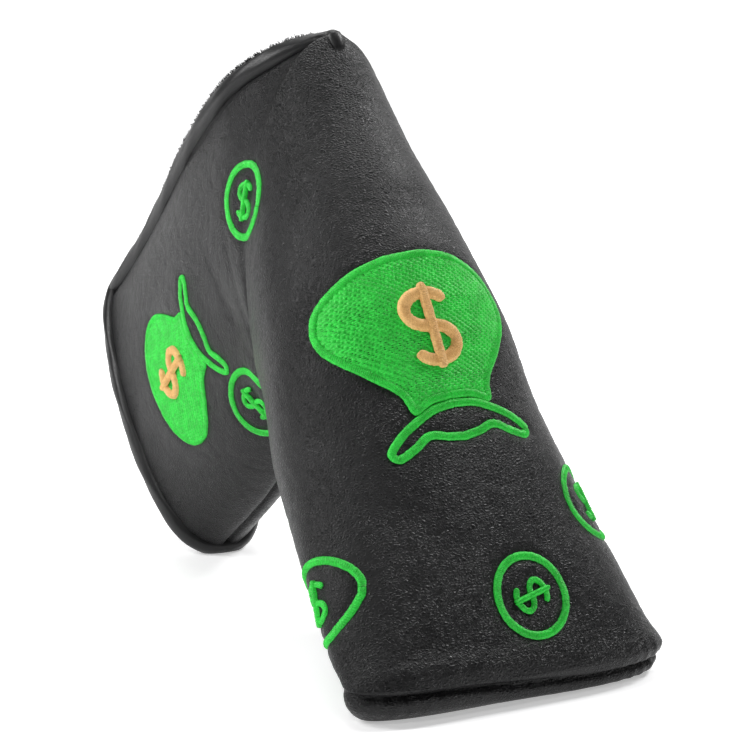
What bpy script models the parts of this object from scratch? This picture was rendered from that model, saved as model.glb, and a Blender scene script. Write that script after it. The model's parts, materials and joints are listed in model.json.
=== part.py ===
"""Blade putter head cover: a padded leather boot for the head, and a neck that opens as two flaps.

The cover stands on the floor like an upside-down V, on its toe and on the end of its neck.
+Z is up, the toe points to -Y, the neck to +Y, and the plane X = 0 is its middle.
Its shape is set out in a tilted frame: p runs up the spine from the toe to the apex, and
q runs from the spine to the end of the neck. Lengths are in millimetres until to_world().
"""

from math import asin, cos, pi, radians, sin

import bmesh
import bpy
from mathutils import Matrix, Vector

MM = 0.001
SPINE_TILT = radians(57.55)
FRAME_Y = -95.44  # puts the middle of the footprint at the origin

# Sections: spine p and q, seam p and q, half width, roundness (1 is an ellipse, less is boxier).
TOE_ARM = (
    (5.0, -4.0, 15.0, 10.0, 40.5, 0.48),
    (15.0, -5.5, 23.0, 18.0, 39.5, 0.60),
    (38.0, -6.5, 44.5, 28.0, 37.0, 0.75),
    (66.0, -7.0, 62.5, 38.5, 33.5, 0.88),
    (92.0, -9.5, 78.0, 41.5, 30.5, 0.94),
    (118.0, -7.0, 83.5, 47.0, 27.5, 1.0),
    (143.0, -3.0, 83.5, 52.5, 24.0, 1.0),
    (163.0, -1.5, 84.0, 56.0, 21.0, 1.0),
)
NECK_ARM = (
    TOE_ARM[-1],
    (162.5, 25.5, 83.0, 61.0, 20.5, 1.0),
    (162.0, 59.0, 82.0, 66.0, 19.5, 0.95),
    (160.0, 94.5, 78.5, 84.0, 18.5, 0.90),
    (157.5, 123.0, 75.5, 115.5, 17.0, 0.70),
)
TOE_ROUND = 5.0  # how far the toe's edge rolls in under the cover
TOE_ROUND_LEAST = 1.0
ARCH_LENGTH = 28.0  # the round start of the mouth, behind the apex
ARCH_HALF = 17.5
ARCH_POINTED = 0.75  # 0.5 is a round arch, 1 a pointed one
RIM_HALF = 10.5  # half the gap between the closed rims, from RIM_CLOSED_AT on
RIM_CLOSED_AT = 105.0

# Layers of the wall, outside in: depth of the outer face, thickness.
LEATHER = (0.0, 1.2)
FOAM = (1.5, 1.6)
LINING = (3.4, 1.7)
WALL = LINING[0] + LINING[1]

# Each flap folds out along a straight crease (p, q) between the rim and the neck's end.
CREASE_RIM = (162.0, 60.2)
CREASE_END = (112.3, 118.7)
CREASE_GAP = 0.5
HINGE_X = 18.6

BINDING_HEIGHT = 3.4
BINDING_THICKNESS = 5.8
BINDING_GAP = 0.3
BINDING_SIDES = 8

THREAD = (0.3, 0.6)  # lift off the leather, height
THREAD_OVER = (1.2, 0.6)  # the gold thread, which lies on the green
SEW_GAP = 0.3
COIN_RADIUS = 9.5
COIN_BAND = 1.6
BAG_BAND = 1.7
FLAP_BAG_SCALE = 0.81
TAPE = (WALL + 0.3, 1.0)  # depth, thickness
TAPE_SIZE = (26.0, 9.0)

TOE_STEPS = 11
NECK_STEPS = 11
NECK_EASE = 1.25  # brings the first steps of the mouth's arch closer together
AROUND_STEPS = 8
CAP_STEPS = 3
OUTLINE_STEPS = 9
STROKE_STEPS = 6

# Half of the money bag's body from its collar up to its crown, and its ruffle below the collar.
BAG_SIDE = (
    (0.0, 1.5),
    (5.5, 1.1),
    (10.2, -0.4),
    (12.0, 4.5),
    (17.5, 10.5),
    (22.3, 17.0),
    (23.4, 23.0),
    (20.8, 29.5),
    (13.5, 34.3),
    (5.0, 36.2),
)
RUFFLE_SIDE = (
    (0.0, -0.9),
    (5.5, -1.4),
    (10.8, -3.0),
    (15.6, -5.6),
    (19.2, -9.2),
    (17.0, -11.4),
    (12.6, -9.9),
    (8.6, -8.0),
    (4.4, -9.0),
    (0.0, -9.8),
)


# ---------------------------------------------------------------- frame, scene, materials


def to_world(x, p, q):
    """A point of the tilted frame, in metres."""
    y = p * cos(SPINE_TILT) + q * sin(SPINE_TILT) + FRAME_Y
    z = p * sin(SPINE_TILT) - q * cos(SPINE_TILT)
    return Vector((x, y, z)) * MM


def direction(x, p, q):
    """A direction of the tilted frame, as a unit vector of the world."""
    return (to_world(x, p, q) - to_world(0, 0, 0)).normalized()


def make_material(name, colour, roughness):
    material = bpy.data.materials.new(name)
    material.use_nodes = True
    shader = material.node_tree.nodes["Principled BSDF"]
    shader.inputs["Base Color"].default_value = (*colour, 1.0)
    shader.inputs["Roughness"].default_value = roughness
    shader.inputs["Metallic"].default_value = 0.0
    return material


def make_collection(name):
    collection = bpy.data.collections.new(name)
    bpy.context.scene.collection.children.link(collection)
    return collection


def add_object(name, mesh, collection, material=None):
    item = bpy.data.objects.new(name, mesh)
    collection.objects.link(item)
    if material:
        mesh.materials.append(material)
    return item


def add_helper(name, mesh, collection):
    item = add_object(name, mesh, collection)
    item.hide_render = True
    item.display_type = "WIRE"
    return item


def add_boolean(item, operation, other):
    modifier = item.modifiers.new(other.name, "BOOLEAN")
    modifier.operation = operation
    modifier.solver = "EXACT"
    modifier.object = other


# ---------------------------------------------------------------- the cover's surface


def through(rows, share):
    """A smooth curve through the rows, read at a share of its length from 0 to 1."""
    last = len(rows) - 1
    place = min(max(share, 0.0), 1.0) * last
    first = min(int(place), last - 1)
    t = place - first
    values = []
    for column in range(len(rows[0])):
        b = rows[first][column]
        c = rows[first + 1][column]
        a = rows[first - 1][column] if first else 2 * b - c
        d = rows[first + 2][column] if first + 2 <= last else 2 * c - b
        curve = (2 * a - 5 * b + 4 * c - d) * t * t + (3 * b - a - 3 * c + d) * t**3
        values.append(0.5 * (2 * b + (c - a) * t + curve))
    return values


def mouth_half(q):
    """Half the width of the mouth, q behind the apex."""
    if q <= 0:
        return 0.0
    if q < ARCH_LENGTH:
        return ARCH_HALF * (1 - (1 - q / ARCH_LENGTH) ** 2) ** ARCH_POINTED
    t = min((q - ARCH_LENGTH) / (RIM_CLOSED_AT - ARCH_LENGTH), 1.0)
    return ARCH_HALF + (RIM_HALF - ARCH_HALF) * t * t * (3 - 2 * t)


def surface(along, around, depth=0.0):
    """A point of the left side, at a depth into the wall.
    along: 0 toe, 1 apex, 2 neck's end. around: 0 seam, 1 spine or rim."""
    row = through(TOE_ARM, along) if along <= 1 else through(NECK_ARM, along - 1)
    spine = Vector(row[0:2])
    seam = Vector(row[2:4])
    half_width = row[4] - depth
    roundness = row[5]
    opening = min(mouth_half(spine.y), 0.98 * half_width) if along > 1 else 0.0
    inwards = (seam - spine).normalized()
    spine += inwards * depth
    seam -= inwards * depth
    spare = asin((opening / half_width) ** (1 / roundness)) if opening else 0.0
    turn = around * (pi - spare)
    place = seam + (spine - seam) * (1 - cos(turn)) / (1 - cos(pi - spare))
    x = -half_width * max(sin(turn), 0.0) ** roundness if around else 0.0
    if around == 1 and not opening:
        x = 0.0
    return to_world(x, place.x, place.y)


def toe_cap(roll, around, depth):
    """The toe's end below the first section: roll is 1 where it meets the flat base on the floor."""
    edge = surface(0.0, around, depth)
    seam = surface(0.0, 0.0, depth)
    spine = surface(0.0, 1.0, depth)
    middle = (seam.y + spine.y) / 2
    half_width = (TOE_ARM[0][4] - depth) * MM
    inset = max(TOE_ROUND - depth, TOE_ROUND_LEAST) * MM * (1 - cos(roll * pi / 2))
    x = edge.x * (1 - inset / half_width)
    y = middle + (edge.y - middle) * (1 - inset / abs(seam.y - middle))
    return Vector((x, y, edge.z + (depth * MM - edge.z) * sin(roll * pi / 2)))


def along_places():
    toe = [step / TOE_STEPS for step in range(TOE_STEPS)]
    neck = [1 + (step / NECK_STEPS) ** NECK_EASE for step in range(NECK_STEPS + 1)]
    return toe + neck


def around_places():
    """Closer together on the bends at the seam and the rim."""
    even = [step / AROUND_STEPS for step in range(AROUND_STEPS + 1)]
    return [0.7 * share + 0.15 * (1 - cos(pi * share)) for share in even]


def left_rows(depth):
    """The left side's points, row by row from the toe's base to the neck's end."""
    places = around_places()
    rolls = [1 - step / CAP_STEPS for step in range(CAP_STEPS)]
    rows = [[toe_cap(roll, around, depth) for around in places] for roll in rolls]
    return rows + [[surface(along, around, depth) for around in places] for along in along_places()]


def add_face(build, corners, turned):
    """A face that is later split between its first and third corners, whichever way it faces."""
    build.faces.new([corners[0], *corners[:0:-1]] if turned else corners)


def add_side(build, side, outer_rows, inner_rows):
    """One side of a layer: its outer face, its inner face, and the edge between them at the mouth."""
    outer, inner = (
        [[build.verts.new((side * point.x, point.y, point.z)) for point in row] for row in rows]
        for rows in (outer_rows, inner_rows)
    )
    turned = side < 0
    for row in range(len(outer) - 1):
        for step in range(AROUND_STEPS):
            for grid, back in ((outer, turned), (inner, not turned)):
                near = grid[row]
                far = grid[row + 1]
                add_face(build, [near[step], far[step], far[step + 1], near[step + 1]], back)
        edge = [outer[row][-1], outer[row + 1][-1], inner[row + 1][-1], inner[row][-1]]
        if any(abs(vert.co.x) > 0.00001 for vert in edge):
            add_face(build, edge, not turned)
    for step in range(AROUND_STEPS):
        edge = [outer[-1][step], outer[-1][step + 1], inner[-1][step + 1], inner[-1][step]]
        add_face(build, edge, turned)


def make_layer_mesh(layer):
    """A layer of the wall over the whole cover, closed at the toe and open at the mouth."""
    depth, thickness = layer
    outer = left_rows(depth)
    inner = left_rows(depth + thickness)
    build = bmesh.new()
    add_side(build, 1, outer, inner)
    add_side(build, -1, outer, inner)
    bmesh.ops.remove_doubles(build, verts=build.verts, dist=0.000005)
    bmesh.ops.holes_fill(build, edges=[edge for edge in build.edges if edge.is_boundary])
    bmesh.ops.triangulate(build, faces=build.faces, quad_method="FIXED")
    bmesh.ops.recalc_face_normals(build, faces=build.faces)
    mesh = bpy.data.meshes.new("layer")
    build.to_mesh(mesh)
    build.free()
    mesh.shade_smooth()
    mesh.set_sharp_from_angle(angle=radians(40))
    return mesh


def add_layer(name, layer, collection, material=None):
    return add_object(name, make_layer_mesh(layer), collection, material)


# ---------------------------------------------------------------- cutters at the crease


def crease_frame():
    """The crease's middle, its direction, and the way from it towards the rim's corner."""
    start = to_world(0, *CREASE_RIM)
    end = to_world(0, *CREASE_END)
    run = (end - start).normalized()
    return (start + end) / 2, run, Vector((1, 0, 0)).cross(run)


def add_block(name, lowest, highest, collection):
    """A box in the crease's frame: X, then along the crease, then towards the flap. Millimetres."""
    middle, run, beyond = crease_frame()
    build = bmesh.new()
    bmesh.ops.create_cube(build, size=1.0)
    for vert in build.verts:
        place = [low + (high - low) * (co + 0.5) for co, low, high in zip(vert.co, lowest, highest)]
        vert.co = middle + (Vector((place[0], 0, 0)) + run * place[1] + beyond * place[2]) * MM
    bmesh.ops.recalc_face_normals(build, faces=build.faces)
    mesh = bpy.data.meshes.new(name)
    build.to_mesh(mesh)
    build.free()
    return add_helper(name, mesh, collection)


def make_blocks(collection):
    near = CREASE_GAP / 2
    return {
        "pocket": add_block("pocket_space", (-90, -300, -300), (90, 300, -near), collection),
        "flap_left": add_block("flap_left_space", (-90, -300, near), (-0.1, 300, 300), collection),
        "flap_right": add_block("flap_right_space", (0.1, -300, near), (90, 300, 300), collection),
    }


# ---------------------------------------------------------------- binding round the mouth


def edge_path():
    """Places on the left edge, from the seam at the neck's end, round the corner, to the apex."""
    end = [(2.0, step / AROUND_STEPS) for step in range(AROUND_STEPS + 1)]
    rim = [(along, 1.0) for along in reversed(along_places()) if 1 < along < 2]
    return end + rim + [(1.0, 1.0)]


def surface_normal(along, around):
    step = 0.004
    low = max(around - step, 0.0)
    high = min(around + step, 1.0)
    up = surface(along, high) - surface(along, low)
    on = surface(min(along + step, 2.0), around) - surface(along - step, around)
    return up.cross(on).normalized()


def binding_rings():
    """The binding's oval section at each place of the left edge."""
    places = edge_path()
    points = [surface(*place) for place in places]
    normals = [surface_normal(*place) for place in places]
    points[0].x = points[-1].x = 0.0
    normals[0].x = normals[-1].x = 0.0
    before = [Vector((-points[1].x, points[1].y, points[1].z))] + points[:-1]
    after = points[1:] + [Vector((-points[-2].x, points[-2].y, points[-2].z))]
    rings = []
    for point, normal, last, following in zip(points, normals, before, after):
        away_in = normal.cross((point - last).normalized())
        away_out = normal.cross((following - point).normalized())
        away = (away_in.normalized() + away_out.normalized()).normalized()
        stretch = 1 / max(away.dot(away_out.normalized()), 0.6)
        middle = point - normal.normalized() * WALL / 2 * MM
        middle += away * (BINDING_GAP + BINDING_HEIGHT / 2) * stretch * MM
        ring = []
        for side in range(BINDING_SIDES):
            angle = -2 * pi * (side + 0.5) / BINDING_SIDES
            high = away * cos(angle) * BINDING_HEIGHT / 2 * stretch * MM
            wide = normal.normalized() * sin(angle) * BINDING_THICKNESS / 2 * MM
            ring.append(middle + high + wide)
        rings.append(ring)
    return rings


def make_binding_mesh():
    left = binding_rings()
    right = [[Vector((-co.x, co.y, co.z)) for co in ring] for ring in reversed(left[1:-1])]
    build = bmesh.new()
    loop = [[build.verts.new(co) for co in ring] for ring in left + right]
    for ring, following in zip(loop, loop[1:] + loop[:1]):
        for side in range(BINDING_SIDES):
            other = (side + 1) % BINDING_SIDES
            build.faces.new((ring[side], ring[other], following[other], following[side]))
    bmesh.ops.recalc_face_normals(build, faces=build.faces)
    mesh = bpy.data.meshes.new("binding")
    build.to_mesh(mesh)
    build.free()
    mesh.shade_smooth()
    return mesh


# ---------------------------------------------------------------- flat outlines for the thread


def circle(radius, count=16):
    turns = [2 * pi * step / count for step in range(count)]
    return [(radius * cos(turn), radius * sin(turn)) for turn in turns]


def mirrored(side):
    """A closed outline from its right-hand side, listed from one end to the other."""
    rows = [through(side, step / OUTLINE_STEPS) for step in range(OUTLINE_STEPS + 1)]
    return [(x, y) for x, y in rows] + [(-x, y) for x, y in reversed(rows) if x > 0.01]


def inset(outline, distance):
    """The outline moved inwards, with mitred corners, where it runs anticlockwise."""
    result = []
    for index, place in enumerate(outline):
        here = Vector(place)
        run_in = (here - Vector(outline[index - 1])).normalized()
        run_out = (Vector(outline[(index + 1) % len(outline)]) - here).normalized()
        inwards = Vector((-run_in.y - run_out.y, run_in.x + run_out.x)).normalized()
        mitre = max(inwards.dot(Vector((-run_out.y, run_out.x))), 0.4)
        moved = here + inwards * distance / mitre
        result.append((moved.x, moved.y))
    return result


def scaled(outline, factor):
    return [(x * factor, y * factor) for x, y in outline]


def dollar_strokes(height, band):
    """The currency sign: an S of two part ellipses, and the bar through it."""
    radius_x = 0.36 * height
    radius_y = 0.235 * height
    centre_line = []
    for step in range(STROKE_STEPS + 1):
        angle = radians(25 + 245 * step / STROKE_STEPS)
        centre_line.append((radius_x * cos(angle), radius_y * (1 + sin(angle))))
    for step in range(1, STROKE_STEPS + 1):
        angle = radians(90 - 245 * step / STROKE_STEPS)
        centre_line.append((radius_x * cos(angle), radius_y * (sin(angle) - 1)))
    left = []
    right = []
    for index, (x, y) in enumerate(centre_line):
        last = Vector(centre_line[max(index - 1, 0)])
        following = Vector(centre_line[min(index + 1, len(centre_line) - 1)])
        run = (following - last).normalized() * band / 2
        left.append((x - run.y, y + run.x))
        right.append((x + run.y, y - run.x))
    half = 0.5 * height * 1.22
    bar = [(-band / 2, -half), (band / 2, -half), (band / 2, half), (-band / 2, half)]
    return left + right[::-1], bar


def make_prism(name, outlines, depth):
    """A prism through z = 0, depth to each side. The second outline, if any, is a hole."""
    curve = bpy.data.curves.new(name, "CURVE")
    curve.dimensions = "2D"
    curve.fill_mode = "BOTH"
    curve.extrude = depth * MM
    for outline in outlines:
        spline = curve.splines.new("POLY")
        spline.points.add(len(outline) - 1)
        spline.use_cyclic_u = True
        for point, (x, y) in zip(spline.points, outline):
            point.co = (x * MM, y * MM, 0, 1)
    guide = bpy.data.objects.new(name, curve)
    bpy.context.scene.collection.objects.link(guide)
    bpy.context.view_layer.update()
    graph = bpy.context.evaluated_depsgraph_get()
    mesh = bpy.data.meshes.new_from_object(guide.evaluated_get(graph))
    bpy.data.objects.remove(guide, do_unlink=True)
    build = bmesh.new()
    build.from_mesh(mesh)
    bmesh.ops.remove_doubles(build, verts=build.verts, dist=0.000001)
    bmesh.ops.recalc_face_normals(build, faces=build.faces)
    build.to_mesh(mesh)
    build.free()
    return mesh


# ---------------------------------------------------------------- where the motifs are sewn


def place_frame(centre, facing, up):
    """A motif's frame: its centre, the way it faces and its top, all in the tilted frame."""
    normal = direction(*facing)
    top = direction(*up)
    top = (top - normal * top.dot(normal)).normalized()
    frame = Matrix((top.cross(normal), top, normal)).transposed().to_4x4()
    frame.translation = to_world(*centre)
    return frame


def flipped(place):
    """The same place on the other side of the cover."""
    return tuple((-x, p, q) for x, p, q in place)


COIN_PLACES = {
    "coin_neck_left": ((-21.0, 133.0, 24.8), (-1.0, 0.03, -0.05), (0.0, 0.8, -0.6)),
    "coin_elbow_left": ((-13.5, 93.4, 57.4), (-0.9, -0.44, 0.0), (0.0, 1.0, 0.2)),
    "coin_toe_left": ((-38.0, 30.0, 11.0), (-1.0, 0.0, -0.15), (0.0, 1.0, 0.0)),
    "coin_toe_front": ((4.4, 21.5, -5.7), (0.0, 0.0, -1.0), (-1.0, -0.28, 0.0)),
    "coin_toe_right": ((32.0, 42.5, 1.5), (0.8, 0.1, -0.6), (0.0, 1.0, 0.0)),
}
COIN_PLACES["coin_neck_right"] = ((21.0, 132.2, 25.7), (1.0, 0.02, -0.07), (0.0, 0.8, -0.6))
COIN_PLACES["coin_elbow_right"] = flipped(COIN_PLACES["coin_elbow_left"])

BAG_FRONT_PLACE = ((-1.5, 65.5, -7.0), (0.0, 0.0, -1.0), (-0.09, 1.0, 0.0))
BAG_LEFT_PLACE = ((-19.0, 117.5, 70.0), (-1.0, 0.0, 0.0), (0.0, -0.2, 1.0))
BAG_DOLLAR_HEIGHT = 16.5
BAG_DOLLAR_BAND = 2.6
BAG_DOLLAR_AT = 18.0  # from the collar
TAPE_PLACE = ((-11.0, 150.0, 100.0), (-0.85, 0.6, 0.0), (0.0, 0.0, 1.0))


class Workshop:
    """The collections, materials and helpers that the pieces share."""

    def __init__(self):
        self.parts = make_collection("putter_head_cover")
        self.helpers = make_collection("helpers")
        self.blocks = make_blocks(self.helpers)
        self.black = make_material("black_leather", (0.018, 0.018, 0.019), 0.5)
        self.edge = make_material("binding_leather", (0.012, 0.012, 0.013), 0.4)
        self.foam = make_material("grey_foam", (0.16, 0.16, 0.17), 0.95)
        self.plush = make_material("black_plush", (0.01, 0.01, 0.011), 1.0)
        self.green = make_material("green_thread", (0.02, 0.42, 0.05), 0.45)
        self.gold = make_material("gold_thread", (0.75, 0.42, 0.13), 0.45)
        self.hook = make_material("hook_and_loop", (0.02, 0.02, 0.02), 0.9)
        self.green_space = self.thread_space("green_thread_space", THREAD)
        self.gold_space = self.thread_space("gold_thread_space", THREAD_OVER)
        self.tape_space = add_layer("tape_space", TAPE, self.helpers)
        for item in (self.green_space, self.gold_space, self.tape_space):
            item.hide_render = True
            item.display_type = "WIRE"

    def thread_space(self, name, layer):
        lift, height = layer
        return add_layer(name, (-lift - height, height), self.helpers)


def add_walls(shop):
    """Leather, foam and lining, each cut into the pocket and the two flaps."""
    sheets = (("leather", LEATHER, shop.black), ("foam", FOAM, shop.foam), ("lining", LINING, shop.plush))
    for body, block in shop.blocks.items():
        for sheet, layer, material in sheets:
            item = add_layer(f"{body}_{sheet}", layer, shop.parts, material)
            add_boolean(item, "INTERSECT", block)


def add_bindings(shop):
    """One leather strip round the whole mouth, in the lengths that ride with each body."""
    start = to_world(0, *CREASE_RIM)
    middle, run, _ = crease_frame()
    split = (start - middle).dot(run) / MM / 2
    near = -CREASE_GAP / 2
    apex = add_block("apex_space", (-90, -300, -300), (90, split, near), shop.helpers)
    neck = add_block("neck_space", (-90, split, -300), (90, 300, near), shop.helpers)
    spaces = {
        "binding_apex": apex,
        "binding_neck": neck,
        "binding_left": shop.blocks["flap_left"],
        "binding_right": shop.blocks["flap_right"],
    }
    for name, space in spaces.items():
        item = add_object(name, make_binding_mesh(), shop.parts, shop.edge)
        add_boolean(item, "INTERSECT", space)


def sew(shop, name, outlines, frame, material, space, depth=12.0):
    """A stitched area: its outline's prism, where the thread's thickness on the leather meets it."""
    item = add_object(name, make_prism(name, outlines, depth), shop.parts, material)
    item.matrix_world = frame
    add_boolean(item, "INTERSECT", space)
    return item


def sew_dollar(shop, name, frame, height, band, material, space, depth=12.0):
    curve, bar = dollar_strokes(height, band)
    helper = add_helper(f"{name}_bar", make_prism(f"{name}_bar", [bar], depth + 1), shop.helpers)
    helper.matrix_world = frame
    item = add_object(name, make_prism(name, [curve], depth), shop.parts, material)
    item.matrix_world = frame
    add_boolean(item, "UNION", helper)
    add_boolean(item, "INTERSECT", space)


def add_bag(shop, name, place, scale):
    frame = place_frame(*place)
    body = scaled(mirrored(BAG_SIDE), scale)
    ruffle = scaled(mirrored(RUFFLE_SIDE)[::-1], scale)
    band = BAG_BAND * scale
    sew(shop, f"{name}_outline", [body, inset(body, band)], frame, shop.green, shop.green_space)
    sew(shop, f"{name}_fill", [inset(body, band + SEW_GAP)], frame, shop.green, shop.green_space)
    sew(shop, f"{name}_ruffle", [ruffle, inset(ruffle, band)], frame, shop.green, shop.green_space)
    dollar = frame @ Matrix.Translation((0, BAG_DOLLAR_AT * scale * MM, 0))
    height = BAG_DOLLAR_HEIGHT * scale
    sew_dollar(shop, f"{name}_dollar", dollar, height, BAG_DOLLAR_BAND * scale, shop.gold, shop.gold_space)


def add_coins(shop):
    for name, place in COIN_PLACES.items():
        frame = place_frame(*place)
        ring = [circle(COIN_RADIUS), circle(COIN_RADIUS - COIN_BAND)]
        sew(shop, f"{name}_ring", ring, frame, shop.green, shop.green_space, depth=8.0)
        sew_dollar(shop, f"{name}_dollar", frame, 9.2, 1.4, shop.green, shop.green_space, depth=8.0)


def add_tapes(shop):
    long = TAPE_SIZE[0] / 2
    wide = TAPE_SIZE[1] / 2
    outline = [(-wide, -long), (wide, -long), (wide, long), (-wide, long)]
    for name, place in (("hook_tape", TAPE_PLACE), ("loop_tape", flipped(TAPE_PLACE))):
        sew(shop, name, [outline], place_frame(*place), shop.hook, shop.tape_space, depth=10.0)


def hang_flaps(shop):
    """What is on a flap hangs on an empty at its hinge."""
    middle, run, _ = crease_frame()
    for side, sign in (("left", -1), ("right", 1)):
        hinge = bpy.data.objects.new(f"hinge_{side}", None)
        hinge.location = middle + Vector((sign * HINGE_X * MM, 0, 0))
        hinge.rotation_mode = "QUATERNION"
        hinge.rotation_quaternion = run.to_track_quat("Z", "X")
        shop.parts.objects.link(hinge)
        bpy.context.view_layer.update()
        tape = "hook_tape" if side == "left" else "loop_tape"
        layers = [f"flap_{side}_{sheet}" for sheet in ("leather", "foam", "lining")]
        for name in [*layers, f"binding_{side}", tape]:
            item = bpy.data.objects[name]
            item.parent = hinge
            item.matrix_parent_inverse = hinge.matrix_world.inverted()


def main():
    for item in list(bpy.data.objects):
        bpy.data.objects.remove(item, do_unlink=True)
    shop = Workshop()
    add_walls(shop)
    add_bindings(shop)
    add_bag(shop, "bag_front", BAG_FRONT_PLACE, 1.0)
    add_bag(shop, "bag_left", BAG_LEFT_PLACE, FLAP_BAG_SCALE)
    add_bag(shop, "bag_right", flipped(BAG_LEFT_PLACE), FLAP_BAG_SCALE)
    add_coins(shop)
    add_tapes(shop)
    hang_flaps(shop)
    bpy.context.view_layer.update()


main()
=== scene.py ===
"""Looks of the blade putter head cover: grained leather, bound mouth, plush lining, raised embroidery.

Shapes are worked out in the tilted frame of the CAD model, in millimetres: p runs up the spine from
the toe to the apex, q from the spine to the end of the neck. to_world() gives metres.
"""

import json
from math import cos, pi, radians, sin

import bpy
import numpy as np
from mathutils import Matrix, Vector, kdtree, noise
from mathutils.bvhtree import BVHTree

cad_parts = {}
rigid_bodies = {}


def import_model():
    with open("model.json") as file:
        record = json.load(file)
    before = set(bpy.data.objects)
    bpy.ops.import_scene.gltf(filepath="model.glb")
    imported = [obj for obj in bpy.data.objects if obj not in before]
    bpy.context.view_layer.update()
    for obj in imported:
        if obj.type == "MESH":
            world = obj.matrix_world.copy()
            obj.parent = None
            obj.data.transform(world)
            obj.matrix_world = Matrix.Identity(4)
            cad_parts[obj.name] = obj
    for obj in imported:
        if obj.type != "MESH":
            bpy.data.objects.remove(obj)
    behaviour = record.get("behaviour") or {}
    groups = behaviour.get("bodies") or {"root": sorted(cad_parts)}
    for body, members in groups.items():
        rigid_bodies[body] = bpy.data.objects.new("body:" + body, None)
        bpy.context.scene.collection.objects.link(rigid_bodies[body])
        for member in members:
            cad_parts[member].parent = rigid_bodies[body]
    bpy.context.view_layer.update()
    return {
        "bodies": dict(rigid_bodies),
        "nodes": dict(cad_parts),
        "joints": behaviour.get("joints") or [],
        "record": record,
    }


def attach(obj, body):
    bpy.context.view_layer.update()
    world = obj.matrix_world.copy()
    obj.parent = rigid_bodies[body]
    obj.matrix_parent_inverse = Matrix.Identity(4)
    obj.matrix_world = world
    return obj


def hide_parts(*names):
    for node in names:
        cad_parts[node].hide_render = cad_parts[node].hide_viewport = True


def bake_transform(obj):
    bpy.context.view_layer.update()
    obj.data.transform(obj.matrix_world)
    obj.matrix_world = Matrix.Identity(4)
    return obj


MM = 0.001
SPINE_TILT = radians(57.55)
FRAME_Y = -95.44

# Sections: spine p and q, seam p and q, half width, roundness (1 is an ellipse, less is boxier).
TOE_ARM = (
    (5.0, -4.0, 15.0, 10.0, 40.5, 0.48),
    (15.0, -5.5, 23.0, 18.0, 39.5, 0.60),
    (38.0, -6.5, 44.5, 28.0, 37.0, 0.75),
    (66.0, -7.0, 62.5, 38.5, 33.5, 0.88),
    (92.0, -9.5, 78.0, 41.5, 30.5, 0.94),
    (118.0, -7.0, 83.5, 47.0, 27.5, 1.0),
    (143.0, -3.0, 83.5, 52.5, 24.0, 1.0),
    (163.0, -1.5, 84.0, 56.0, 21.0, 1.0),
)
NECK_ARM = (
    TOE_ARM[-1],
    (162.5, 25.5, 83.0, 61.0, 20.5, 1.0),
    (162.0, 59.0, 82.0, 66.0, 19.5, 0.95),
    (160.0, 94.5, 78.5, 84.0, 18.5, 0.90),
    (157.5, 123.0, 75.5, 115.5, 17.0, 0.70),
)
TOE_ROUND = 5.0
TOE_ROUND_LEAST = 1.0
ARCH_LENGTH = 28.0
ARCH_HALF = 17.5
ARCH_POINTED = 0.75
RIM_HALF = 10.5
RIM_CLOSED_AT = 105.0

# Depth of each layer's outer and inner face, and how fine its mesh is: along, and columns a side.
LEATHER = (0.0, 1.2)
FOAM = (1.5, 3.1)
LINING = (3.4, 5.1)
WALL = LINING[1]
LEATHER_MESH = (3.4, 150)
FOAM_MESH = (1.0, 40)
LINING_MESH = (2.0, 80)
TUFT_HEIGHT = 0.55
TOE_FOLD = 0.03  # the rows are closest together up to this share of the toe's limb

CREASE_RIM = (162.0, 60.2)
CREASE_END = (112.3, 118.7)
BODIES = ("pocket", "flap_left", "flap_right")
RIM_FROM = 152.0  # the fringe grows where the edge is past this along the spine
PIECE_EDGE = -1.0  # a flap's piece starts this far before the crease

BINDING_HEIGHT = 3.4
BINDING_THICKNESS = 5.8
BINDING_LAP = 2.2  # how far the binding covers the leather's edge
BINDING_PROUD = 1.5  # how much thicker it is on the leather's side
BINDING_SPARE = 0.25  # and on the lining's side
BINDING_SIDES = 22
BINDING_SQUARE = 0.75  # 1 is an oval section, less is boxier

FRINGE_HAIRS = 30000
INNER_HAIRS = 12000

COIN_RADIUS = 9.5
COIN_BAND = 1.6
BAG_BAND = 1.7
FLAP_BAG_SCALE = 0.81
BAG_SIDE = (
    (0.0, 1.5),
    (5.5, 1.1),
    (10.2, -0.4),
    (12.0, 4.5),
    (17.5, 10.5),
    (22.3, 17.0),
    (23.4, 23.0),
    (20.8, 29.5),
    (13.5, 34.3),
    (5.0, 36.2),
)
RUFFLE_SIDE = (
    (0.0, 1.2),
    (5.5, 0.6),
    (10.8, -1.4),
    (15.6, -4.0),
    (19.0, -7.4),
    (17.2, -10.0),
    (12.6, -8.6),
    (8.6, -6.6),
    (4.4, -7.6),
    (0.0, -8.2),
)
COIN_PLACES = {
    "coin_neck_left": ((-21.0, 133.0, 24.8), (-1.0, 0.03, -0.05), (0.0, 0.8, -0.6)),
    "coin_elbow_left": ((-13.5, 93.4, 57.4), (-0.9, -0.44, 0.0), (0.0, 1.0, 0.2)),
    "coin_toe_left": ((-38.0, 30.0, 9.5), (-1.0, 0.0, 0.12), (0.0, 1.0, 0.0)),
    "coin_toe_front": ((4.4, 21.5, -5.7), (0.0, 0.0, -1.0), (-1.0, -0.28, 0.0)),
    "coin_toe_right": ((32.0, 42.5, 1.5), (0.8, 0.1, -0.6), (0.0, 1.0, 0.0)),
    "coin_neck_right": ((21.0, 132.2, 25.7), (1.0, 0.02, -0.07), (0.0, 0.8, -0.6)),
    "coin_elbow_right": ((13.5, 93.4, 57.4), (0.9, -0.44, 0.0), (0.0, 1.0, 0.2)),
}
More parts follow.
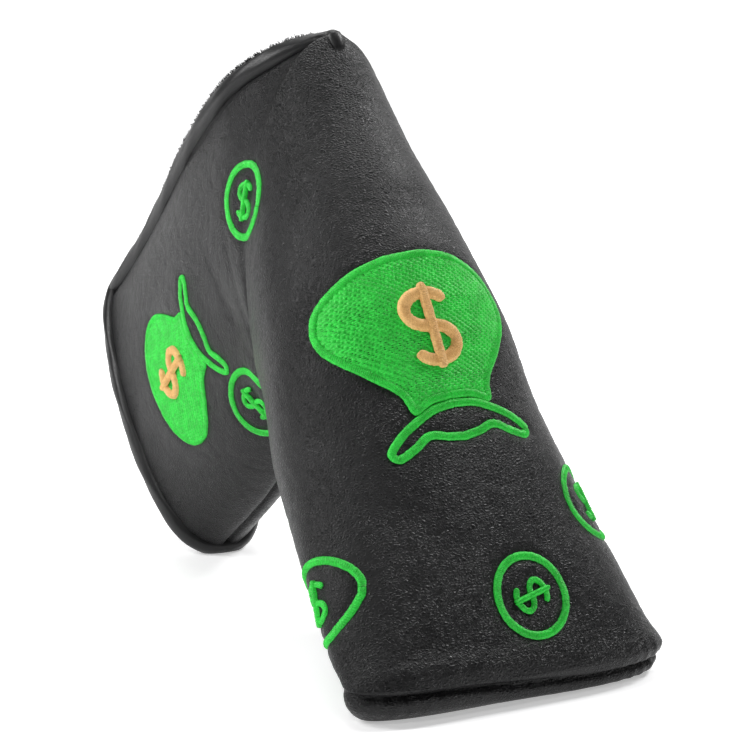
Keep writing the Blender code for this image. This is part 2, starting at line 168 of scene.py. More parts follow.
BAG_PLACES = {
    "bag_front": ((-1.5, 65.5, -7.0), (0.0, 0.0, -1.0), (-0.09, 1.0, 0.0), 1.0),
    "bag_left": ((-19.0, 117.5, 70.0), (-1.0, 0.0, 0.0), (0.0, -0.2, 1.0), FLAP_BAG_SCALE),
    "bag_right": ((19.0, 117.5, 70.0), (1.0, 0.0, 0.0), (0.0, -0.2, 1.0), FLAP_BAG_SCALE),
}
BAG_DOLLAR_HEIGHT = 16.5
BAG_DOLLAR_BAND = 2.4
BAG_DOLLAR_AT = 18.0
COIN_DOLLAR_HEIGHT = 8.4
COIN_DOLLAR_BAND = 1.25
TAPE_SIZE = (9.0, 26.0)
TAPE_PLACES = {
    "hook_tape": ((-11.0, 150.0, 100.0), (-0.85, 0.6, 0.0), (0.0, 0.0, 1.0)),
    "loop_tape": ((11.0, 150.0, 100.0), (0.85, 0.6, 0.0), (0.0, 0.0, 1.0)),
}

# Thread and stitches.
SATIN_PITCH = 0.42
SATIN_HEIGHT = 0.95
SATIN_STEP = 0.12
FILL_STEP = 0.17
FILL_ROW = 0.52
FILL_STITCH = 1.7
FILL_HEIGHT = 0.5
QUILT_DEPTH = 0.45  # how far stitches pull the leather in
QUILT_REACH = 1.5

# How far off a motif's plane its stitches may land.
BAG_REACH = 12.0
COIN_REACH = 8.0
TAPE_REACH = 10.0

# The photograph's viewpoint.
AZIMUTH = -32.57
ELEVATION = 9.07
ROLL = 1.72
DISTANCE = 0.4504
AIM = (0.0159, -0.0064, 0.0553)
LENS = 86.4


# ---------------------------------------------------------------- the tilted frame


def to_world(x, p, q):
    """Points of the tilted frame in metres: arrays or numbers."""
    y = p * cos(SPINE_TILT) + q * sin(SPINE_TILT) + FRAME_Y
    z = p * sin(SPINE_TILT) - q * cos(SPINE_TILT)
    return np.stack(np.broadcast_arrays(x, y, z), axis=-1) * MM


def direction(x, p, q):
    return Vector(to_world(x, p, q) - to_world(0, 0, 0)).normalized()


def unit(vectors):
    return vectors / np.maximum(np.linalg.norm(vectors, axis=-1, keepdims=True), 1e-12)


def through(rows, share):
    """Smooth curve through the rows, read at shares of its length: one row of values for each."""
    rows = np.array(rows, float)
    rows = np.vstack([2 * rows[0] - rows[1], rows, 2 * rows[-1] - rows[-2]])
    last = len(rows) - 3
    place = np.clip(share, 0, 1) * last
    first = np.minimum(place.astype(int), last - 1)
    t = (place - first)[..., None]
    a, b, c, d = (rows[first + step] for step in range(4))
    curve = (2 * a - 5 * b + 4 * c - d) * t**2 + (3 * b - a - 3 * c + d) * t**3
    return 0.5 * (2 * b + (c - a) * t + curve)


def mouth_half(q):
    arch = ARCH_HALF * (1 - (1 - np.clip(q / ARCH_LENGTH, 0, 1)) ** 2) ** ARCH_POINTED
    t = np.clip((q - ARCH_LENGTH) / (RIM_CLOSED_AT - ARCH_LENGTH), 0, 1)
    return arch + (RIM_HALF - ARCH_HALF) * t * t * (3 - 2 * t)


def surface(along, around, depth=0.0):
    """Points of the left side. along: 0 toe, 1 apex, 2 neck's end. around: 0 seam, 1 spine or rim."""
    along, around = np.broadcast_arrays(np.asarray(along, float), np.asarray(around, float))
    toe = through(TOE_ARM, along)
    neck = through(NECK_ARM, along - 1)
    row = np.where((along <= 1)[..., None], toe, neck)
    spine = row[..., 0:2]
    seam = row[..., 2:4]
    half_width = row[..., 4] - depth
    roundness = row[..., 5]
    opening = np.minimum(mouth_half(spine[..., 1]), 0.98 * half_width) * (along > 1)
    inwards = unit(seam - spine)
    spine = spine + inwards * depth
    seam = seam - inwards * depth
    spare = np.arcsin((opening / half_width) ** (1 / roundness))
    turn = around * (pi - spare)
    share = (1 - np.cos(turn)) / (1 - np.cos(pi - spare))
    place = seam + (spine - seam) * share[..., None]
    x = -half_width * np.maximum(np.sin(turn), 0) ** roundness
    x = np.where((around <= 0) | ((around >= 1) & (opening <= 0)), 0.0, x)
    return to_world(x, place[..., 0], place[..., 1])


def toe_cap(roll, around, depth=0.0):
    """The toe's end below the first section: roll is 1 where it meets the floor."""
    edge = surface(0.0, around, depth)
    seam = surface(0.0, 0.0, depth)
    spine = surface(0.0, 1.0, depth)
    middle = (seam[1] + spine[1]) / 2
    half_width = (TOE_ARM[0][4] - depth) * MM
    inset = max(TOE_ROUND - depth, TOE_ROUND_LEAST) * MM * (1 - cos(roll * pi / 2))
    x = edge[..., 0] * (1 - inset / half_width)
    y = middle + (edge[..., 1] - middle) * (1 - inset / abs(seam[1] - middle))
    z = edge[..., 2] + (depth * MM - edge[..., 2]) * sin(roll * pi / 2)
    return np.stack([x, y, z], axis=-1)


def toe_base(share, around, depth=0.0):
    """The flat under the toe's cap, drawn in to the middle of the base."""
    rim = toe_cap(1.0, around, depth)
    middle = np.array([0, (rim[:, 1].max() + rim[:, 1].min()) / 2, rim[0, 2]])
    return middle + (rim - middle) * share


def crease():
    """The crease's middle, and the way from it towards the rim's corner."""
    start = to_world(0, *CREASE_RIM)
    end = to_world(0, *CREASE_END)
    run = unit(end - start)
    return (start + end) / 2, np.cross([1, 0, 0], run)


def beyond_crease(points):
    """How far each point lies on the flap's side of the crease, in millimetres."""
    middle, beyond = crease()
    return (points - middle) @ beyond / MM


# ---------------------------------------------------------------- grids and meshes


def around_shares(count):
    even = np.linspace(0, 1, count + 1)
    return 0.7 * even + 0.15 * (1 - np.cos(pi * even))


def along_shares(fine):
    """Closer together by the toe seam, where the leather folds over it."""
    fold = np.linspace(0, TOE_FOLD, 13)[:-1] if fine > 1 else np.array([0.0])
    toe = np.linspace(TOE_FOLD, 1, int(62 * fine))
    neck = 1 + np.linspace(0, 1, int(52 * fine)) ** 1.15
    return np.concatenate([fold, toe, neck[1:]])


def left_grid(depth, fine, columns):
    """Rows of points over the left side, from the middle of the toe's base to the neck's end."""
    around = around_shares(columns)
    rows = [toe_base(share, around, depth) for share in (0.01, 0.35, 0.7)]
    rows += [toe_cap(roll, around, depth) for roll in np.linspace(1, 0, int(7 * fine))[:-1]]
    along = along_shares(fine)
    return np.concatenate([np.array(rows), surface(along[:, None], around[None, :], depth)])


def mirror(points):
    return points * np.array([-1, 1, 1])


def grid_normals(grid):
    """Outward normals of a left side grid; those on the middle plane lie in it."""
    down = np.gradient(grid, axis=0)
    over = np.gradient(grid, axis=1)
    normals = unit(np.cross(over, down))
    flat = np.abs(grid[..., 0]) < 1e-7
    normals[flat, 0] = 0
    return unit(normals)


def quads(rows, columns, start=0, turned=False):
    index = start + np.arange(rows * columns).reshape(rows, columns)
    corners = [index[:-1, :-1], index[:-1, 1:], index[1:, 1:], index[1:, :-1]]
    if turned:
        corners.reverse()
    return np.stack(corners, axis=-1).reshape(-1, 4)


def vertex_normals(points, faces):
    """Smooth normals, shared by points at the same place."""
    corners = points[faces]
    face = np.cross(corners[:, 2] - corners[:, 0], corners[:, 3] - corners[:, 1])
    _, place = np.unique(np.round(points, 7), axis=0, return_inverse=True)
    place = place.reshape(-1)
    total = np.zeros((place.max() + 1, 3))
    for corner in range(4):
        np.add.at(total, place[faces[:, corner]], face)
    return unit(total)[place]


def make_mesh(name, points, faces, normals=None):
    mesh = bpy.data.meshes.new(name)
    mesh.from_pydata(points.tolist(), [], faces.tolist())
    mesh.validate(clean_customdata=False)
    mesh.shade_smooth()
    if normals is not None and len(mesh.vertices) == len(normals):
        mesh.normals_split_custom_set_from_vertices(normals.tolist())
    item = bpy.data.objects.new(name, mesh)
    bpy.context.scene.collection.objects.link(item)
    return item


def make_part(name, points, faces, normals, chosen):
    """A piece from the chosen faces of a larger mesh, with that mesh's normals."""
    faces = faces[chosen]
    used, place = np.unique(faces, return_inverse=True)
    return make_mesh(name, points[used], place.reshape(faces.shape), normals[used])


def make_sides(name, points, faces, material, nodes):
    """A soft layer over the whole cover, split at the creases into a pocket and two flap pieces."""
    normals = vertex_normals(points, faces)
    corners = points[faces]
    on_flap = beyond_crease(corners).max(axis=1) > PIECE_EDGE
    left = corners[..., 0].mean(axis=1) < 0
    shares = {"pocket": ~on_flap, "flap_left": on_flap & left, "flap_right": on_flap & ~left}
    pieces = {}
    for body, chosen in shares.items():
        piece = make_part(f"{body}_{name}", points, faces, normals, chosen)
        finish_piece(piece, body, material, nodes.get(body, ()))
        pieces[body] = piece
    return pieces


def finish_piece(piece, body, material, nodes):
    piece.data.materials.append(material)
    if body == "pocket":
        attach(piece, body)
    else:
        middle, beyond = crease()
        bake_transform(piece)
    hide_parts(*nodes)


# ---------------------------------------------------------------- materials


class Nodes:
    """A Principled material, and short ways to add and join its nodes."""

    def __init__(self, name, colour, roughness):
        self.material = bpy.data.materials.new(name)
        self.material.use_nodes = True
        self.tree = self.material.node_tree
        self.shader = self.tree.nodes["Principled BSDF"]
        self.shader.inputs["Base Color"].default_value = (*colour, 1)
        self.shader.inputs["Roughness"].default_value = roughness
        self.place = self.add("ShaderNodeMapping")
        self.place.inputs["Scale"].default_value = (1 / MM, 1 / MM, 1 / MM)
        self.join(self.add("ShaderNodeTexCoord").outputs["Object"], self.place.inputs["Vector"])

    def add(self, kind, **settings):
        node = self.tree.nodes.new(kind)
        for key, value in settings.items():
            setattr(node, key, value)
        return node

    def join(self, output, target):
        self.tree.links.new(output, target)

    def set(self, **values):
        for key, value in values.items():
            self.shader.inputs[key.replace("_", " ")].default_value = value

    def stretched(self, scale):
        """Millimetre coordinates, scaled."""
        node = self.add("ShaderNodeMapping")
        node.inputs["Scale"].default_value = scale
        self.join(self.place.outputs["Vector"], node.inputs["Vector"])
        return node.outputs["Vector"]

    def noise(self, scale, detail, vector=None, roughness=0.6):
        node = self.add("ShaderNodeTexNoise")
        node.inputs["Scale"].default_value = scale
        node.inputs["Detail"].default_value = detail
        node.inputs["Roughness"].default_value = roughness
        self.join(vector or self.place.outputs["Vector"], node.inputs["Vector"])
        return node.outputs["Fac"]

    def cells(self, scale, vector):
        """Distance from the edges of scattered cells."""
        node = self.add("ShaderNodeTexVoronoi", feature="DISTANCE_TO_EDGE")
        node.inputs["Scale"].default_value = scale
        self.join(vector, node.inputs["Vector"])
        return node.outputs["Distance"]

    def ramp(self, value, low, high, start=0.0, end=1.0):
        """Smooth step from start to end, as the value goes from low to high."""
        node = self.add("ShaderNodeMapRange", interpolation_type="SMOOTHSTEP")
        for key, number in (("From Min", low), ("From Max", high), ("To Min", start), ("To Max", end)):
            node.inputs[key].default_value = number
        self.join(value, node.inputs["Value"])
        return node.outputs["Result"]

    def math(self, operation, first, second):
        node = self.add("ShaderNodeMath", operation=operation)
        for socket, value in zip(node.inputs, (first, second)):
            if isinstance(value, (int, float)):
                socket.default_value = value
            else:
                self.join(value, socket)
        return node.outputs["Value"]

    def colours(self, value, first, second):
        node = self.add("ShaderNodeMix", data_type="RGBA")
        node.inputs["A"].default_value = (*first, 1)
        node.inputs["B"].default_value = (*second, 1)
        self.join(value, node.inputs["Factor"])
        self.join(node.outputs["Result"], self.shader.inputs["Base Color"])

    def bump(self, height, distance, strength, before=None):
        node = self.add("ShaderNodeBump")
        node.inputs["Distance"].default_value = distance * MM
        node.inputs["Strength"].default_value = strength
        self.join(height, node.inputs["Height"])
        if before:
            self.join(before, node.inputs["Normal"])
        self.join(node.outputs["Normal"], self.shader.inputs["Normal"])
        return node.outputs["Normal"]


def leather_material():
    """Black pebbled hide: small cells with creases between them, and finer pores. Its colour carries
    painted shade, darker in the creases.
    """
    nodes = Nodes("black_leather", (0.006, 0.006, 0.0065), 0.42)
    warp = nodes.add("ShaderNodeVectorMath", operation="ADD")
    swirl = nodes.add("ShaderNodeTexNoise")
    swirl.inputs["Scale"].default_value = 0.5
    swirl.inputs["Detail"].default_value = 3
    nodes.join(nodes.place.outputs["Vector"], swirl.inputs["Vector"])
    nodes.join(nodes.stretched((0.8, 1.15, 1.15)), warp.inputs[0])
    nodes.join(swirl.outputs["Color"], warp.inputs[1])
    pebbles = nodes.ramp(nodes.cells(1.35, warp.outputs["Vector"]), 0.0, 0.42)
    small = nodes.ramp(nodes.cells(3.2, warp.outputs["Vector"]), 0.0, 0.35)
    patches = nodes.ramp(nodes.noise(0.05, 2), 0.35, 0.65)
    pores = nodes.noise(4.5, 3)
    depth = nodes.ramp(patches, 0, 1, 0.4, 1)
    deep = nodes.bump(nodes.math("MULTIPLY", pebbles, depth), 0.22, 0.8)
    fine = nodes.bump(small, 0.07, 0.4, deep)
    nodes.bump(pores, 0.05, 0.35, fine)
    in_creases = nodes.ramp(pebbles, 0, 1, 0.16, 0.0)
    on_pebbles = nodes.ramp(pores, 0.3, 0.7, 0.2, 0.36)
    nodes.join(nodes.math("ADD", in_creases, on_pebbles), nodes.shader.inputs["Roughness"])
    # painted shade: the hide is darker in the creases between the pebbles and lighter on their tops
    nodes.colours(pebbles, (0.003, 0.003, 0.0033), (0.0065, 0.0065, 0.007))
    nodes.set(Specular_IOR_Level=0.3)
    return nodes.material


def binding_material():
    """Smooth, thin leather with a satin face and fine stretch lines."""
    nodes = Nodes("binding_leather", (0.01, 0.01, 0.011), 0.38)
    grain = nodes.noise(2.4, 4)
    streaks = nodes.noise(0.7, 4, nodes.stretched((1, 0.25, 0.25)))
    first = nodes.bump(grain, 0.06, 0.35)
    nodes.bump(streaks, 0.12, 0.3, first)
    nodes.join(nodes.ramp(grain, 0.3, 0.7, 0.34, 0.5), nodes.shader.inputs["Roughness"])
    nodes.colours(streaks, (0.004, 0.004, 0.0043), (0.009, 0.009, 0.0095))
    nodes.set(Specular_IOR_Level=0.35)
    return nodes.material


def plush_material():
    nodes = Nodes("black_plush", (0.01, 0.01, 0.011), 0.95)
    tufts = nodes.noise(1.6, 5)
    nodes.bump(tufts, 0.5, 0.7)
    # painted shade: the plush is darker in the hollows between the tufts and lighter on their tops
    nodes.colours(nodes.ramp(tufts, 0.3, 0.7), (0.003, 0.003, 0.0035), (0.022, 0.022, 0.024))
    nodes.set(Specular_IOR_Level=0.2, Sheen_Weight=0.25, Sheen_Roughness=0.5)
    return nodes.material


def foam_material():
    nodes = Nodes("grey_foam", (0.16, 0.16, 0.17), 0.95)
    pores = nodes.cells(2.2, nodes.place.outputs["Vector"])
    nodes.bump(pores, 0.3, 0.6)
    # painted shade: the foam is darker in the low hollows at the cells' edges
    nodes.colours(nodes.ramp(pores, 0, 0.3), (0.07, 0.07, 0.075), (0.19, 0.19, 0.2))
    return nodes.material


def tape_material():
    nodes = Nodes("hook_and_loop", (0.02, 0.02, 0.02), 0.8)
    loops = nodes.noise(3.0, 3)
    nodes.bump(loops, 0.3, 0.6)
    # painted shade: the tape is darker in the hollows between its loops and lighter on their tops
    nodes.colours(nodes.ramp(loops, 0.35, 0.65), (0.008, 0.008, 0.009), (0.045, 0.045, 0.047))
    return nodes.material


def thread_material(name, dark, light):
    """Lustrous polyester thread, with a painted highlight on the crowns of the stitches and painted
    shade between them.
    """
    nodes = Nodes(name, light, 0.4)
    strands = nodes.noise(3.4, 4, roughness=0.7)
    patches = nodes.noise(0.35, 2)
    crowns = nodes.ramp(strands, 0.32, 0.68, 0, 0.75)
    faded = nodes.ramp(patches, 0.4, 0.6, 0, 0.25)
    # painted highlight and shade: the second colour lies on the crowns of the strands, the first in the
    # hollows between them
    nodes.colours(nodes.math("ADD", crowns, faded), dark, light)
    nodes.bump(strands, 0.09, 0.5)
    nodes.join(nodes.ramp(strands, 0.3, 0.7, 0.55, 0.35), nodes.shader.inputs["Roughness"])
    nodes.set(Specular_IOR_Level=0.4, Sheen_Weight=0.15, Sheen_Roughness=0.4)
    return nodes.material


# ---------------------------------------------------------------- the leather's folds


def groove(distance, depth, width):
    """A soft dip, deepest where the distance is 0."""
    return -depth * np.exp(-((distance / width) ** 2))


def lines_noise(points, scale, seed):
    """Smooth noise between -1 and 1, at the scaled points."""
    places = points / MM * np.array(scale) + seed
    values = [noise.noise(Vector(place)) for place in places.reshape(-1, 3)]
    return np.array(values).reshape(points.shape[:-1])


def ridges(points, scale, seed):
    """Thin creases with broad swells between them."""
    return 1 - 2.2 * np.clip(0.45 - np.abs(lines_noise(points, scale, seed)) * 2.4, 0, 1)


def toe_height(grid, toe_row):
    """Distance up from the toe seam along each column, in millimetres; negative below it."""
    steps = np.linalg.norm(np.diff(grid, axis=0), axis=-1) / MM
    travelled = np.vstack([np.zeros(grid.shape[1]), np.cumsum(steps, axis=0)])
    return travelled - travelled[toe_row]


def toe_fold(grid, height):
    """The front panel rolls over the toe seam, with a lip below it and puckers at its ends."""
    x = grid[..., 0] / MM
    front = np.clip((-grid[..., 1] / MM - 84.0) / 8.0, 0, 1)
    rise = height + 0.4 + 0.03 * (x + 40) + 0.7 * np.sin(x / 12.0)
    panel = -groove(rise - 4.2, 0.9, 3.4)
    lip = -groove(rise + 2.6, 0.7, 2.0)
    notch = groove(x - 1.5, 1.1, 0.8) * (rise < 0.3)
    fold = groove(rise, 1.6, 0.6) + panel + lip + notch
    ends = np.exp(-(((np.abs(x) - 33) / 8.0) ** 2)) + 0.3
    puckers = 0.13 * np.cos(2 * pi * (x + 2.2 * np.sin(x / 5.0)) / 4.6)
    puckers *= np.exp(-((rise / 4.0) ** 2)) * ends
    return front * (fold + puckers)


def seam_fold(grid, around):
    """The seam under the cover's middle, where its two halves meet, with the leather full beside it."""
    reach = np.abs(grid[..., 0]) / MM
    below = np.broadcast_to(around < 0.4, reach.shape)
    return np.where(below, groove(reach, 1.3, 0.7) - groove(reach - 2.6, 0.35, 1.7), 0)


def elbow_folds(grid):
    """Soft folds that fan out from the elbow, where the neck bends away from the toe's limb."""
    y = grid[..., 1] / MM
    z = grid[..., 2] / MM
    folds = np.zeros(y.shape)
    side = np.clip((np.abs(grid[..., 0]) / MM - 6) / 8, 0, 1)
    elbow_y = -10.0
    elbow_z = 46.0
    for angle, depth, width in ((97, 0.55, 2.2), (84, 0.7, 1.6), (72, 0.5, 2.0), (58, 0.35, 2.4)):
        run_y = cos(radians(angle))
        run_z = sin(radians(angle))
        reach = (y - elbow_y) * run_y + (z - elbow_z) * run_z
        off = (y - elbow_y) * run_z - (z - elbow_z) * run_y + 1.6 * np.sin(reach / 9.0)
        fade = np.clip((reach + 4) / 10, 0, 1) * np.exp(-((np.maximum(reach - 18, 0) / 26) ** 2))
        folds += groove(off, depth, width) * fade
    return folds * side


def rim_dip(grid, along_row, around):
    """The leather turns in where the binding grips it."""
    reach = np.linalg.norm(grid - grid[:, -1:, :], axis=-1) / MM
    mouth = (along_row > 1.0)[:, None]
    dip = np.where(mouth, groove(np.maximum(reach - BINDING_LAP, 0), 0.55, 1.3), 0)
    return dip * np.broadcast_to(around > 0.5, reach.shape)


def leather_relief(grid, along_row, around, toe_row):
    """How far the leather's face stands out from the plain surface, in millimetres."""
    height = toe_height(grid, toe_row)
    soft = 0.35 * lines_noise(grid, (0.035, 0.05, 0.05), 3.0)
    lateral = 0.085 * ridges(grid, (0.045, 0.2, 0.2), 11.0)
    slanted = 0.06 * ridges(grid, (0.16, 0.12, 0.3), 5.0)
    fine = 0.03 * lines_noise(grid, (0.5, 0.9, 0.9), 2.0)
    calm = np.clip(height / 6.0, 0.3, 1)
    relief = (soft + lateral + slanted + fine) * calm
    relief += toe_fold(grid, height) + seam_fold(grid, around) + elbow_folds(grid)
    relief += rim_dip(grid, along_row, around)
    floor_gap = grid[..., 2] / MM
    return np.where(floor_gap < 1.0, np.minimum(relief, 0) * 0.3, relief)


# ---------------------------------------------------------------- motif outlines


def circle(radius, count=480):
    turns = np.arange(count) * 2 * pi / count
    return np.stack([radius * np.cos(turns), radius * np.sin(turns)], axis=1)


def mirrored(side, count=120):
    """A closed outline from its right-hand side."""
    rows = through(side, np.linspace(0, 1, count))
    other = rows[::-1][rows[::-1, 0] > 0.01]
    return np.concatenate([rows, other * np.array([-1, 1])])


def evenly(path, step, closed):
    """The path's points, moved to equal steps along it."""
    if closed:
        path = np.vstack([path, path[:1]])
    lengths = np.linalg.norm(np.diff(path, axis=0), axis=1)
    travelled = np.concatenate([[0], np.cumsum(lengths)])
    count = max(int(travelled[-1] / step), 4)
    stops = np.linspace(0, travelled[-1], count + 1)
    if closed:
        stops = stops[:-1]
    return np.stack([np.interp(stops, travelled, path[:, axis]) for axis in range(2)], axis=1)


def inset(outline, distance):
    """An anticlockwise outline moved inwards."""
    outline = evenly(outline, 0.4, True)
    run = unit(np.roll(outline, -1, axis=0) - np.roll(outline, 1, axis=0))
    return outline + np.stack([-run[:, 1], run[:, 0]], axis=1) * distance


def inside(outline, places):
    """Which places lie inside the outline."""
    found = np.zeros(len(places), bool)
    x, y = places[:, 0], places[:, 1]
    for first, second in zip(outline, np.roll(outline, -1, axis=0)):
        if first[1] == second[1]:
            continue
        spans = (first[1] > y) != (second[1] > y)
        cross = first[0] + (y - first[1]) * (second[0] - first[0]) / (second[1] - first[1])
        found ^= spans & (x < cross)
    return found


def dollar_line(height):
    """The S of a currency sign as one line, and the ends of its bar."""
    radius_x = 0.33 * height
    radius_y = 0.235 * height
    upper = np.radians(np.linspace(20, 270, 60))
    lower = np.radians(np.linspace(90, -160, 60))[1:]
    first = np.stack([radius_x * np.cos(upper), radius_y * (1 + np.sin(upper))], axis=1)
    second = np.stack([radius_x * np.cos(lower), radius_y * (np.sin(lower) - 1)], axis=1)
    half = 0.6 * height
    bar = np.array([[-0.02 * height, -half], [0.02 * height, half]])
    return np.vstack([first, second]), bar


# ---------------------------------------------------------------- sewing on the leather


class Cloth:
    """A surface that motifs are sewn onto."""

    def __init__(self, points, faces, normals):
        self.tree = BVHTree.FromPolygons(points.tolist(), faces.tolist())
        self.faces = faces
        self.normals = normals

    def project(self, frame, places, height):
        """Where flat places of a motif land, looking back along its normal, and the normals there."""
        back = -(frame.to_3x3() @ Vector((0, 0, 1)))
        found = np.empty((len(places), 3))
        normals = np.empty((len(places), 3))
        for index, (x, y) in enumerate(places.tolist()):
            start = frame @ Vector((x * MM, y * MM, height * MM))
            hit, _, face, _ = self.tree.ray_cast(start, back, 2 * height * MM)
            if hit is None:
                hit, _, face, _ = self.tree.find_nearest(start + back * height * MM)
            found[index] = hit
            normals[index] = self.normals[self.faces[face]].mean(axis=0)
        return found, unit(normals)


def place_frame(centre, facing, up):
    normal = direction(*facing)
    top = direction(*up)
    top = (top - normal * top.dot(normal)).normalized()
    frame = Matrix((top.cross(normal), top, normal)).transposed().to_4x4()
    frame.translation = Vector(to_world(*centre))
    return frame


def smoothed(values, reach, closed):
    """Running mean along a path."""
    total = np.zeros(values.shape)
    padded = np.vstack([values[:1]] * reach + [values] + [values[-1:]] * reach)
    for shift in range(-reach, reach + 1):
        if closed:
            total += np.roll(values, shift, axis=0)
        else:
            total += padded[reach + shift : reach + shift + len(values)]
    return total / (2 * reach + 1)


def satin(cloth, frame, path, width, closed, reach, seed, lift=0.0):
    """A raised band of stitches that lie across a path, each a little different in length."""
    path = evenly(path, SATIN_STEP, closed)
    centre, normals = cloth.project(frame, path, reach)
    normals = unit(smoothed(normals, 6, closed))
    centre = smoothed(centre, 2, closed)
    if closed:
        tangent = np.roll(centre, -1, axis=0) - np.roll(centre, 1, axis=0)
    else:
        tangent = np.gradient(centre, axis=0)
    side = unit(np.cross(normals, unit(tangent)))
    count = len(path)
    stitch = np.arange(count) * SATIN_STEP / SATIN_PITCH
    random = np.random.default_rng(seed + count)
    spread = random.uniform(-1, 1, int(stitch[-1]) + 3)
    end_spread = random.uniform(-1, 1, int(stitch[-1]) + 3)
    taper = np.ones(count)
    if not closed:
        from_end = np.minimum(np.arange(count), np.arange(count)[::-1]) * SATIN_STEP
        share = np.clip(from_end / (0.75 * width), 0, 1)
        taper = 0.18 + 0.82 * np.sqrt(1 - (1 - share) ** 2)
    section = np.linspace(-1, 1, 11)
    rows = []
    for across in section:
        which = np.clip((stitch + 0.5 * across).astype(int), 0, len(spread) - 1)
        ragged = 1 + 0.05 * (spread[which] if across > 0 else end_spread[which])
        reach_out = across * 0.62 * width * taper * ragged
        dome = max(1 - abs(across) ** 2.6, 0) ** 0.5
        ribs = 0.13 * np.cos(2 * pi * (stitch + 0.35 * across)) + 0.05 * spread[which]
        high = lift - 0.3 + (SATIN_HEIGHT + ribs) * dome * (0.55 + 0.45 * taper)
        rows.append(centre + side * (reach_out * MM)[:, None] + normals * (high * MM)[:, None])
    points = np.array(rows).reshape(-1, 3)
    faces = quads(len(section), count)
    if closed:
        index = np.arange(len(section) * count).reshape(len(section), count)
        joint = [index[:-1, -1], index[1:, -1], index[1:, 0], index[:-1, 0]]
        faces = np.vstack([faces, np.stack(joint, axis=-1)])
    return points, faces


def tatami(cloth, frame, outline, reach):
    """A field of short stitches in rows, set off from row to row."""
    low = outline.min(axis=0)
    high = outline.max(axis=0)
    xs = np.arange(low[0], high[0], FILL_STEP)
    ys = np.arange(low[1], high[1], FILL_STEP)
    grid = np.stack(np.meshgrid(xs, ys), axis=-1)
    flat = grid.reshape(-1, 2)
    kept = inside(outline, flat)
    number = np.full(len(flat), -1)
    number[kept] = np.arange(kept.sum())
    faces = number[quads(len(ys), len(xs))]
    faces = faces[(faces >= 0).all(axis=1)]
    places = flat[kept]
    found, normals = cloth.project(frame, places, reach)
    row = places[:, 1] / FILL_ROW
    which = np.floor(row)
    stitch = places[:, 0] / FILL_STITCH + which * 0.38 + 0.08 * np.sin(which * 2.4)
    crown = np.abs(np.sin(pi * row)) ** 0.7
    dip = np.exp(-(((stitch - np.round(stitch)) * FILL_STITCH / 0.24) ** 2))
    lift = -0.12 + FILL_HEIGHT * (0.45 + 0.55 * crown) - 0.3 * dip
    return found + normals * (lift * MM)[:, None], faces


def joined(parts):
    """Several lots of points and faces as one."""
    points = []
    faces = []
    total = 0
    for some_points, some_faces in parts:
        points.append(some_points)
        faces.append(some_faces + total)
        total += len(some_points)
    return np.vstack(points), np.vstack(faces)


def add_sewn(name, shape, material, node):
    piece = make_mesh(name, *shape)
    piece.data.materials.append(material)
    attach(piece, "pocket")
    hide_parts(node)


def bag_outlines(scale):
    body = mirrored(BAG_SIDE) * scale
    ruffle = mirrored(RUFFLE_SIDE)[::-1] * scale
    return body, ruffle


def motif_lines():
    """The lines that pull the leather in: frame, flat path, whether the path closes, and reach."""
    lines = []
    for centre, facing, up, scale in BAG_PLACES.values():
        frame = place_frame(centre, facing, up)
        body, ruffle = bag_outlines(scale)
        band = BAG_BAND * scale
        lines.append((frame, inset(body, band / 2), True, BAG_REACH))
        lines.append((frame, inset(ruffle, band / 2), True, BAG_REACH))
    for centre, facing, up in COIN_PLACES.values():
        frame = place_frame(centre, facing, up)
        line, bar = dollar_line(COIN_DOLLAR_HEIGHT)
        lines.append((frame, circle(COIN_RADIUS - COIN_BAND / 2), True, COIN_REACH))
        lines.append((frame, line, False, COIN_REACH))
        lines.append((frame, bar, False, COIN_REACH))
    return lines


def sew_bag(name, cloth, place, green, gold, seed):
    centre, facing, up, scale = place
    frame = place_frame(centre, facing, up)
    body, ruffle = bag_outlines(scale)
    band = BAG_BAND * scale
    outline = satin(cloth, frame, inset(body, band / 2), band * 1.08, True, BAG_REACH, seed)
    add_sewn(f"{name}_outline_thread", outline, green, f"{name}_outline")
    fill = tatami(cloth, frame, inset(body, band * 0.7), BAG_REACH)
    add_sewn(f"{name}_fill_thread", fill, green, f"{name}_fill")
    hem = satin(cloth, frame, inset(ruffle, band / 2), band * 1.05, True, BAG_REACH, seed + 1)
    add_sewn(f"{name}_ruffle_thread", hem, green, f"{name}_ruffle")
    line, bar = dollar_line(BAG_DOLLAR_HEIGHT * scale)
    on_bag = frame @ Matrix.Translation((0, BAG_DOLLAR_AT * scale * MM, 0))
    width = BAG_DOLLAR_BAND * scale
    curve = satin(cloth, on_bag, line, width, False, BAG_REACH, seed + 2, lift=0.55)
    stroke = satin(cloth, on_bag, bar, width * 0.85, False, BAG_REACH, seed + 3, lift=0.95)
    sign = joined([curve, stroke])
    add_sewn(f"{name}_dollar_thread", sign, gold, f"{name}_dollar")


def sew_coin(name, cloth, place, green, seed):
    frame = place_frame(*place)
    ring_path = circle(COIN_RADIUS - COIN_BAND / 2)
    ring = satin(cloth, frame, ring_path, COIN_BAND * 1.05, True, COIN_REACH, seed)
    add_sewn(f"{name}_ring_thread", ring, green, f"{name}_ring")
    line, bar = dollar_line(COIN_DOLLAR_HEIGHT)
    width = COIN_DOLLAR_BAND
    curve = satin(cloth, frame, line, width, False, COIN_REACH, seed + 1)
    stroke = satin(cloth, frame, bar, width * 0.85, False, COIN_REACH, seed + 2, lift=0.4)
    sign = joined([curve, stroke])
    add_sewn(f"{name}_dollar_thread", sign, green, f"{name}_dollar")


